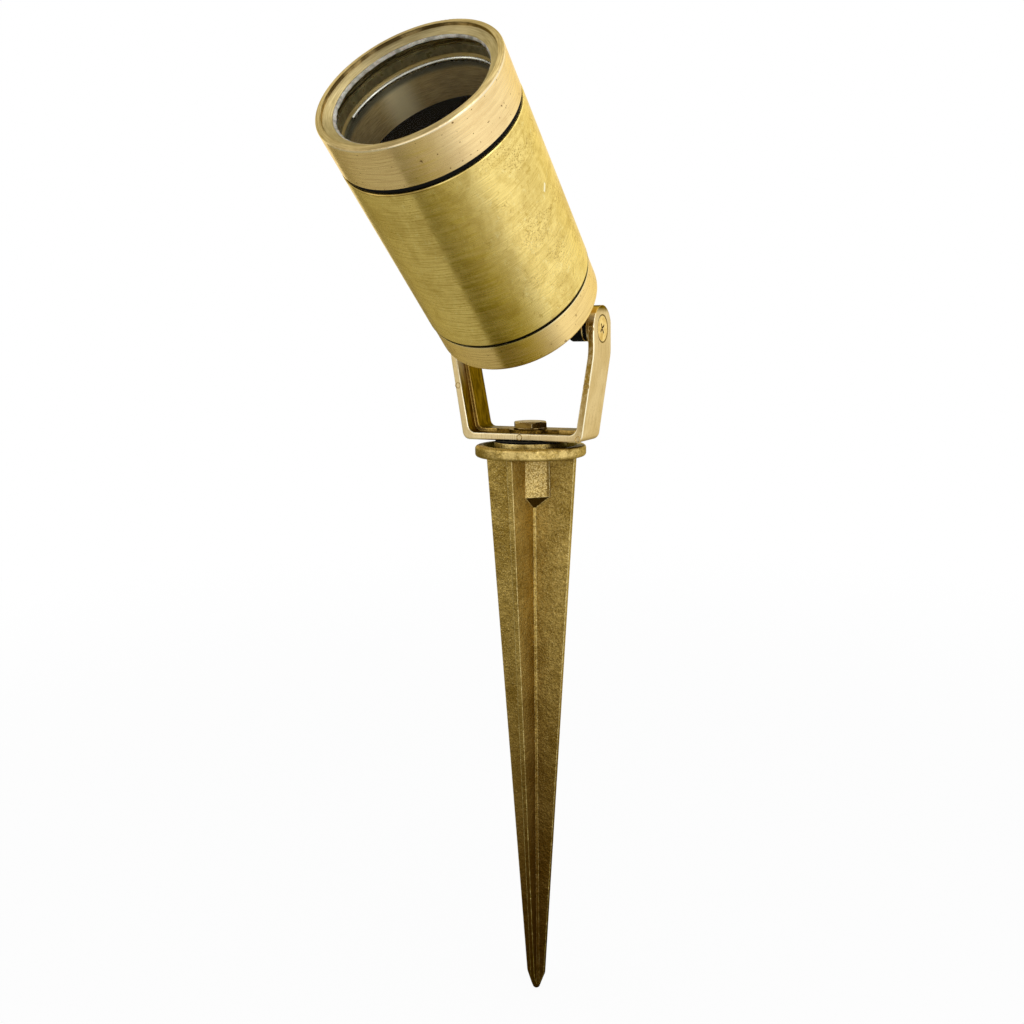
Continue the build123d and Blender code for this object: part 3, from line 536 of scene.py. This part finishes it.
    # painted shade round the screw heads and in the corners
    lift = graph.math("SUBTRACT", z, PIVOT.z)
    from_axis = graph.math("SQRT", graph.math("ADD", graph.both(y, y), graph.both(lift, lift)))
    ring = graph.band(from_axis, SCREW_HEAD - 0.1 * MM, SCREW_HEAD + 0.5 * MM, 0.1 * MM)
    ring = graph.both(ring, graph.step(reach, YOKE_TOP - 1.5 * MM, YOKE_TOP - 1.2 * MM))
    base = graph.mix(graph.both(ring, 0.75), base, colour(96, 70, 24))
    base = graph.mix(graph.both(occlusion_shade(graph, 1.6 * MM), 0.85), base, colour(60, 42, 12))
    roughness = graph.step(grain, 0.3, 0.7, 0.30, 0.46)
    normal = graph.bump(graph.math("ADD", grain, marks), 0.03 * MM, 0.5, rounded)
    return cast_surface(graph, base, roughness, normal, YOKE_EDGE_TINT)


def spike_material():
    graph = Graph("spike_brass")
    edges, rounded = worn_edges(graph, 0.45 * MM)
    grain = graph.noise(1250.0, detail=4.0, roughness=0.7)
    lumps = graph.noise(420.0, detail=3.0, roughness=0.6)
    clouds = graph.noise(45.0, detail=5.0, roughness=0.65)
    x, y, z = graph.split(graph.coords)
    fine = graph.noise(2600.0, detail=2.0, roughness=0.6)
    base = graph.mix(graph.step(clouds, 0.35, 0.65), colour(192, 164, 90), colour(150, 122, 52))
    base = graph.mix(graph.step(grain, 0.44, 0.64, 0.0, 0.58), base, colour(96, 74, 22))
    base = graph.mix(graph.step(fine, 0.56, 0.68, 0.0, 0.5), base, colour(84, 62, 18))
    base = graph.mix(graph.step(fine, 0.42, 0.32, 0.0, 0.6), base, colour(240, 216, 148))
    # painted highlight on the collar towards the front right, and painted shade on its left
    on_collar = graph.step(z, -0.3 * MM, 0.0)
    front_right = graph.vector("DOT_PRODUCT", graph.facing, (0.57, -0.82, 0.0))
    painted_highlight = graph.both(on_collar, graph.step(front_right, 0.3, 0.95))
    painted_highlight = graph.both(painted_highlight, graph.step(lumps, 0.62, 0.38, 0.1, 0.62))
    base = graph.mix(painted_highlight, base, colour(250, 222, 146))
    left = graph.vector("DOT_PRODUCT", graph.facing, (-0.98, -0.2, 0.0))
    shaded = graph.both(on_collar, graph.step(left, 0.3, 0.9, 0.0, 0.6))
    base = graph.mix(shaded, base, colour(100, 78, 26))
    # the fins darken towards the tip
    base = graph.mix(graph.step(z, DARK_FROM, DARK_TO, 0.0, 0.88), base, colour(100, 66, 16))
    # the column's flats are lighter, with painted shade in a strip beside the side fins and on the downward
    # faces of its point
    wide, deep = graph.math("ABSOLUTE", x), graph.math("ABSOLUTE", y)
    outward = graph.both(graph.math("ADD", wide, deep), math.sqrt(0.5))
    beside = graph.both(graph.math("SUBTRACT", wide, deep), math.sqrt(0.5))
    above_point = graph.step(z, COLUMN_END - 0.3 * MM, COLUMN_END + 0.1 * MM)
    in_column = graph.both(above_point, graph.step(z, -0.2 * MM, -0.5 * MM))
    face = graph.band(outward, COLUMN_FACE - 0.3 * MM, COLUMN_FACE + 0.3 * MM, 0.1 * MM)
    flat = graph.both(in_column, face)
    flat_tone = graph.mix(graph.step(fine, 0.42, 0.6), colour(246, 222, 158), colour(138, 108, 48))
    base = graph.mix(graph.both(flat, 0.4), base, flat_tone)
    strip = graph.both(flat, graph.band(beside, 3.6 * MM, 5.6 * MM, 0.3 * MM))
    base = graph.mix(graph.both(strip, 0.8), base, colour(92, 70, 24))
    below_column = graph.step(z, COLUMN_END + 0.1 * MM, COLUMN_END - 0.1 * MM)
    downwards = graph.step(graph.split(graph.facing)[2], -0.3, -0.5)
    point_end = COLUMN_END - POINT_HEIGHT
    above_end = graph.step(z, point_end, point_end + 1.0 * MM)
    point = graph.both(graph.both(below_column, downwards), above_end)
    base = graph.mix(graph.both(point, 0.85), base, colour(58, 38, 14))
    # worn edges, and painted shade in the corners
    base = graph.mix(graph.both(edges, graph.step(lumps, 0.35, 0.6, 1.0, 0.4)), base, colour(255, 234, 168))
    base = graph.mix(graph.both(occlusion_shade(graph, 3.0 * MM), 0.8), base, colour(56, 38, 10))
    # painted shade makes the dish between the rim and the boss black
    dish = graph.both(graph.step(z, 0.5 * MM, 1.0 * MM), occlusion_shade(graph, 9.0 * MM, 0.7, 0.36))
    base = graph.mix(dish, base, colour(34, 22, 8))
    roughness = graph.step(grain, 0.3, 0.7, 0.28, 0.54)
    height = graph.math("ADD", grain, graph.both(lumps, 1.8))
    normal = graph.bump(height, 0.24 * MM, 0.9, rounded)
    return cast_surface(graph, base, roughness, normal)


def small_brass_material(name, light, dark, pitted):
    """Bolts, screws and turned fittings, with painted shade in their corners."""
    graph = Graph(name)
    edges, rounded = worn_edges(graph, 0.25 * MM)
    grain = graph.noise(1300.0, detail=4.0, roughness=0.7)
    clouds = graph.noise(240.0, detail=4.0, roughness=0.6)
    base = graph.mix(graph.step(clouds, 0.4, 0.65), light, dark)
    base = graph.mix(graph.step(grain, 0.56, 0.72, 0.0, 0.5), base, pitted)
    base = graph.mix(graph.both(edges, 0.5), base, colour(255, 238, 190))
    # painted shade in the corners
    base = graph.mix(graph.both(occlusion_shade(graph, 1.6 * MM), 0.95), base, colour(40, 26, 8))
    roughness = graph.step(clouds, 0.3, 0.7, 0.24, 0.40)
    normal = graph.bump(grain, 0.015 * MM, 0.5, rounded)
    return cast_surface(graph, base, roughness, normal)


def rubber_material(name, shade, roughness_low, roughness_high):
    graph = Graph(name)
    grain = graph.noise(1200.0, detail=3.0, roughness=0.6)
    base = graph.mix(grain, (shade, shade, shade, 1.0), (shade * 1.8, shade * 1.7, shade * 1.6, 1.0))
    roughness = graph.step(grain, 0.3, 0.7, roughness_low, roughness_high)
    normal = graph.bump(grain, 0.005 * MM, 0.4)
    return graph.surface(**{
        "Base Color": base,
        "Roughness": roughness,
        "Normal": normal,
        "Specular IOR Level": 0.05,
    })


def steel_material(name, light, dark):
    graph = Graph(name)
    grain = graph.noise(700.0, detail=4.0, roughness=0.6)
    base = graph.mix(grain, light, dark)
    roughness = graph.step(grain, 0.3, 0.7, 0.2, 0.34)
    return graph.surface(**{"Base Color": base, "Metallic": 1.0, "Roughness": roughness})


def ceramic_material():
    graph = Graph("ceramic")
    grain = graph.noise(500.0, detail=3.0, roughness=0.6)
    base = graph.mix(grain, colour(226, 220, 204), colour(206, 198, 180))
    roughness = graph.step(grain, 0.3, 0.7, 0.24, 0.42)
    return graph.surface(**{"Base Color": base, "Roughness": roughness})


def silicone_material(name, light, dark):
    graph = Graph(name)
    grain = graph.noise(420.0, detail=4.0, roughness=0.65)
    base = graph.mix(graph.step(grain, 0.35, 0.65), light, dark)
    roughness = graph.step(grain, 0.3, 0.7, 0.25, 0.5)
    normal = graph.bump(grain, 0.12 * MM, 0.6)
    return graph.surface(**{
        "Base Color": base,
        "Roughness": roughness,
        "Normal": normal,
        "Transmission Weight": 0.25,
        "Subsurface Weight": 0.2,
        "Subsurface Scale": 0.6 * MM,
    })


def glass_material():
    """Clear lens: straight through, with a weak reflection that faint smudges soften."""
    graph = Graph("lens_glass")
    smudge = graph.noise(60.0, detail=5.0, roughness=0.6)
    clear = graph.add("ShaderNodeBsdfTransparent", {"Color": (0.97, 0.97, 0.95, 1.0)})
    gloss = graph.add("ShaderNodeBsdfGlossy", {
        "Color": (0.95, 0.97, 1.0, 1.0),
        "Roughness": graph.step(smudge, 0.45, 0.8, 0.02, 0.12),
    })
    fresnel = graph.add("ShaderNodeLayerWeight", {"Blend": 0.25}).outputs["Fresnel"]
    graph.show_mixed(graph.both(fresnel, 0.006), clear, gloss)
    return graph.material


def dress(material, *names):
    """Gives CAD nodes their material."""
    for name in names:
        data = nodes[name].data
        data.materials.clear()
        data.materials.append(material)


dress(tube_material(), "housing_tube")
dress(bezel_material(), "bezel")
dress(cap_material(), "rear_cap")
dress(yoke_material(), "yoke")
dress(spike_material(), "spike")
dress(
    small_brass_material("bolt_brass", colour(136, 108, 50), colour(88, 62, 22), colour(56, 38, 12)),
    "swivel_bolt",
    "bolt_washer",
)
dress(
    small_brass_material("bright_brass", colour(250, 222, 150), colour(216, 182, 108), colour(150, 116, 56)),
    "pivot_screw_left",
    "pivot_screw_right",
    "tilt_washer_left",
    "tilt_washer_right",
    "cable_gland",
    "gland_nut",
)
dress(
    rubber_material("black_rubber", 0.004, 0.6, 0.8),
    "swivel_washer",
    "rear_seal",
    "gland_gasket",
    "gland_seal",
    "tilt_seal_left",
    "tilt_seal_right",
    "front_o_ring",
)
dress(silicone_material("aged_silicone", colour(142, 130, 90), colour(108, 96, 62)), "lens_gasket")
dress(rubber_material("black_plastic", 0.004, 0.5, 0.65), "tilt_bush_left", "tilt_bush_right")
dress(steel_material("spring_wire", colour(214, 214, 208), colour(170, 170, 164)), "lamp_ring")
dress(
    steel_material("zinc_steel", colour(188, 190, 192), colour(150, 152, 154)),
    "holder_bracket",
    "bracket_screws",
    "holder_screws",
)
dress(ceramic_material(), "lamp_holder")
dress(glass_material(), "lens")


# ---------------------------------------------------------------- pieces of the scene
def scene_object(name, mesh, material):
    """Object in the scene made from a bmesh."""
    data = bpy.data.meshes.new(name)
    mesh.to_mesh(data)
    mesh.free()
    data.materials.append(material)
    piece = bpy.data.objects.new(name, data)
    bpy.context.scene.collection.objects.link(piece)
    return piece


def ring_piece(name, chains, material):
    """Smooth piece made of closed chains of rings, where a ring is a closed row of points."""
    mesh = bmesh.new()
    for chain in chains:
        rings = [[mesh.verts.new(point) for point in ring] for ring in chain]
        for step, here in enumerate(rings):
            there = rings[(step + 1) % len(rings)]
            for corner in range(len(here)):
                after = (corner + 1) % len(here)
                mesh.faces.new((here[corner], here[after], there[after], there[corner]))
    bmesh.ops.recalc_face_normals(mesh, faces=mesh.faces)
    piece = scene_object(name, mesh, material)
    piece.data.polygons.foreach_set("use_smooth", [True] * len(piece.data.polygons))
    return piece


def fuller_wire():
    """Thickens the spring wire, which looks thicker in the photograph than its solid is."""
    swell = nodes["lamp_ring"].modifiers.new("swell", "DISPLACE")
    swell.strength = WIRE_SWELL
    swell.mid_level = 0.0


def silicone_bead():
    """Uneven bead pressed between the lip of the bezel and the glass."""
    turns = 240
    width = 1.25 * MM
    thick_side = math.radians(150)
    rise = LIP_FRONT - LENS_FRONT
    rng = random.Random(5)
    waves = [(rng.randint(3, 40), rng.uniform(0, 2 * math.pi), rng.uniform(0.3, 1.0)) for _ in range(14)]
    total = sum(amount for _, _, amount in waves)

    def uneven(angle, shift):
        terms = (
            amount * math.sin(count * angle + phase + shift * count)
            for count, phase, amount in waves
        )
        return sum(terms) / total

    # share of the width inwards from the lip, and of the height above the glass
    section = ((0.0, 0.98), (0.25, 0.95), (0.5, 0.78), (0.75, 0.48), (1.0, 0.04), (1.0, 0.0), (0.0, 0.0))
    rings = []
    for step in range(turns):
        angle = 2 * math.pi * step / turns
        reach = 0.62 + 0.38 * math.cos(angle - thick_side) - 0.8 * abs(uneven(angle, 0.3))
        ring = []
        for across, up in section:
            lump = 1.0 - 0.5 * abs(uneven(angle, 1.1 + across)) * (0.3 < up)
            radius = APERTURE_RADIUS - width * across * reach
            ring.append(head_point(radius, angle, LENS_FRONT + rise * up * lump))
        rings.append(ring)
    silicone = silicone_material("silicone", colour(222, 216, 200), colour(146, 139, 120))
    bead = ring_piece("uneven_bead", [rings], silicone)
    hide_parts("silicone_bead")
    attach(bead, "bezel")


def ejector_marks():
    """Small round marks that the casting's ejector pins left on the front of the yoke."""
    arm_middle = ARM_THICKNESS / 2
    arm_mark = 26.2 * MM
    top_mark = 46.2 * MM
    arm_x = YOKE_FOOT + YOKE_LEAN * (arm_mark - YOKE_BOTTOM) - arm_middle
    base_z = YOKE_BOTTOM + BASE_THICKNESS / 2
    places = (
        (-arm_x, arm_mark),
        (arm_x, arm_mark),
        (YOKE_TOP - arm_middle, top_mark),
        (-0.6 * MM, base_z),
        (22.4 * MM, base_z),
    )
    ring_radius = 1.0 * MM
    wire_radius = 0.17 * MM
    around, across = 24, 8
    chains = []
    for x, z in places:
        chain = []
        for step in range(around):
            turn = 2 * math.pi * step / around
            ring = []
            for part in range(across):
                bend = 2 * math.pi * part / across
                radius = ring_radius + wire_radius * math.cos(bend)
                out = YOKE_FRONT - 0.8 * wire_radius * math.sin(bend)
                ring.append((x + radius * math.cos(turn), out, z + radius * math.sin(turn)))
            chain.append(ring)
        chains.append(chain)
    light, dark, pitted = colour(206, 174, 104), colour(150, 118, 54), colour(110, 82, 34)
    marks = ring_piece("ejector_marks", chains, small_brass_material("mark_brass", light, dark, pitted))
    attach(marks, "yoke")


fuller_wire()
silicone_bead()
ejector_marks()


# ---------------------------------------------------------------- floor, light and camera
FLOOR_Z = cad_low.z - 0.3 * MM
FLOOR_HALF = 6.0
WHITE = (1.0, 1.0, 1.0, 1.0)


def floor():
    graph = Graph("pale_floor")
    lit = graph.add("ShaderNodeBsdfDiffuse", {"Color": (0.93, 0.93, 0.93, 1.0)})
    glow = graph.add("ShaderNodeEmission", {"Color": WHITE, "Strength": 1.0})
    x, y, _ = graph.split(graph.coords)
    reach = graph.vector("LENGTH", graph.combine(x, y, 0.0))
    # a little of the floor's own shade shows near the foot of the spike
    amount = graph.both(graph.sees_backdrop(), graph.step(reach, 0.2, 0.9, 0.94, 1.0))
    graph.show_mixed(amount, lit, glow)
    mesh = bmesh.new()
    place = Matrix.Translation((0, 0, FLOOR_Z))
    bmesh.ops.create_grid(mesh, x_segments=1, y_segments=1, size=FLOOR_HALF, matrix=place)
    plane = scene_object("floor", mesh, graph.material)


def shade_card():
    """Card just above the floor that only reflections show, dim on the left and dark round the spike."""
    darkest = 0.17
    dark_radius, fade_length = 0.03, 0.37
    graph = Graph("shade_card")
    x, y, _ = graph.split(graph.coords)
    reach = graph.vector("LENGTH", graph.combine(x, y, 0.0))
    # right of the spike it grows from dark gold to white outwards
    away = graph.math("DIVIDE", graph.math("SUBTRACT", reach, dark_radius), fade_length, clamp=True)
    near = graph.math("MULTIPLY_ADD", graph.math("POWER", away, 1.35), 1.0 - darkest, darkest)
    warmth = graph.step(near, 0.18, 0.65, 1.0, 0.0)
    near_tint = graph.mix(warmth, WHITE, (1.0, 0.86, 0.06, 1.0))
    # left of it, it is dim and slightly warm
    left = graph.step(reach, 0.15, 1.5, 0.42, 0.29)
    beside = graph.math("ADD", graph.math("MULTIPLY_ADD", y, -0.1, x), 0.064)
    near = graph.both(near, graph.step(beside, 0.0, 0.18, 0.55, 1.0))
    side = graph.step(beside, -0.005, 0.005)
    bright = graph.blend(side, left, near)
    tint = graph.mix(side, (1.0, 0.96, 0.72, 1.0), near_tint)
    glow = graph.add("ShaderNodeEmission", {"Color": tint, "Strength": bright})
    clear = graph.add("ShaderNodeBsdfTransparent")
    graph.show_mixed(graph.step(y, -1.8, -0.9), clear, glow)
    corners = ((-5.5, -1.9), (0.6, -1.9), (0.6, 5.5), (-5.5, 5.5))
    mesh = bmesh.new()
    mesh.faces.new([mesh.verts.new((across, along, FLOOR_Z + 0.1 * MM)) for across, along in corners])
    card = scene_object("shade_card", mesh, graph.material)
    card.visible_camera = False
    card.visible_diffuse = False
    card.visible_transmission = False
    card.visible_shadow = False


def world_light():
    world = bpy.data.worlds.new("studio")
    bpy.context.scene.world = world
    world.use_nodes = True
    tree = Tree(world.node_tree, "ShaderNodeOutputWorld")
    soft = tree.add("ShaderNodeBackground", {"Color": (0.96, 0.98, 1.0, 1.0), "Strength": 0.5})
    white = tree.add("ShaderNodeBackground", {"Color": WHITE, "Strength": 1.0})
    tree.show_mixed(tree.sees_backdrop(), soft, white)


def softbox(name, place, target, width, height, power):
    data = bpy.data.lights.new(name, "AREA")
    data.shape = "RECTANGLE"
    data.size = width
    data.size_y = height
    data.energy = power
    lamp = bpy.data.objects.new(name, data)
    lamp.location = place
    lamp.rotation_euler = (Vector(target) - Vector(place)).to_track_quat("-Z", "Y").to_euler()
    lamp.visible_camera = False
    bpy.context.scene.collection.objects.link(lamp)


def camera():
    # found by fitting the object's edges in the photograph, in a 1024 pixel frame
    frame_width = 1024
    focal_pixels = 1001.6
    centre_row = 440.0
    azimuth = math.radians(26.41)
    elevation = math.radians(5.75)
    roll = math.radians(-0.73)
    target = Vector((0, 0, -60)) * MM
    offset = Vector((7.69, -65.42, -378.22)) * MM
    back = Vector((
        math.sin(azimuth) * math.cos(elevation),
        -math.cos(azimuth) * math.cos(elevation),
        math.sin(elevation),
    ))
    right = Vector((math.cos(azimuth), math.sin(azimuth), 0))
    up = back.cross(right)
    turned_right = right * math.cos(roll) + up * math.sin(roll)
    turned_up = up * math.cos(roll) - right * math.sin(roll)
    axes = Matrix((turned_right, turned_up, back)).transposed()
    data = bpy.data.cameras.new("camera")
    data.sensor_width = 36.0
    data.lens = data.sensor_width * focal_pixels / frame_width
    data.shift_y = (centre_row - frame_width / 2) / frame_width
    data.clip_start = 0.01
    view = bpy.data.objects.new("camera", data)
    view.matrix_world = Matrix.Translation(target - axes @ offset) @ axes.to_4x4()
    bpy.context.scene.collection.objects.link(view)
    bpy.context.scene.camera = view


floor()
shade_card()
world_light()
softbox("left", (-0.75, -0.75, 0.45), (0, 0, 0), 0.6, 0.8, 1.6)
softbox("right", (0.85, -0.45, 0.35), (0, 0, 0), 0.6, 0.8, 2.2)
softbox("top", (0.1, -0.1, 0.95), (0, 0, 0), 0.7, 0.7, 2.2)
camera()

scene = bpy.context.scene
scene.view_settings.view_transform = "Standard"
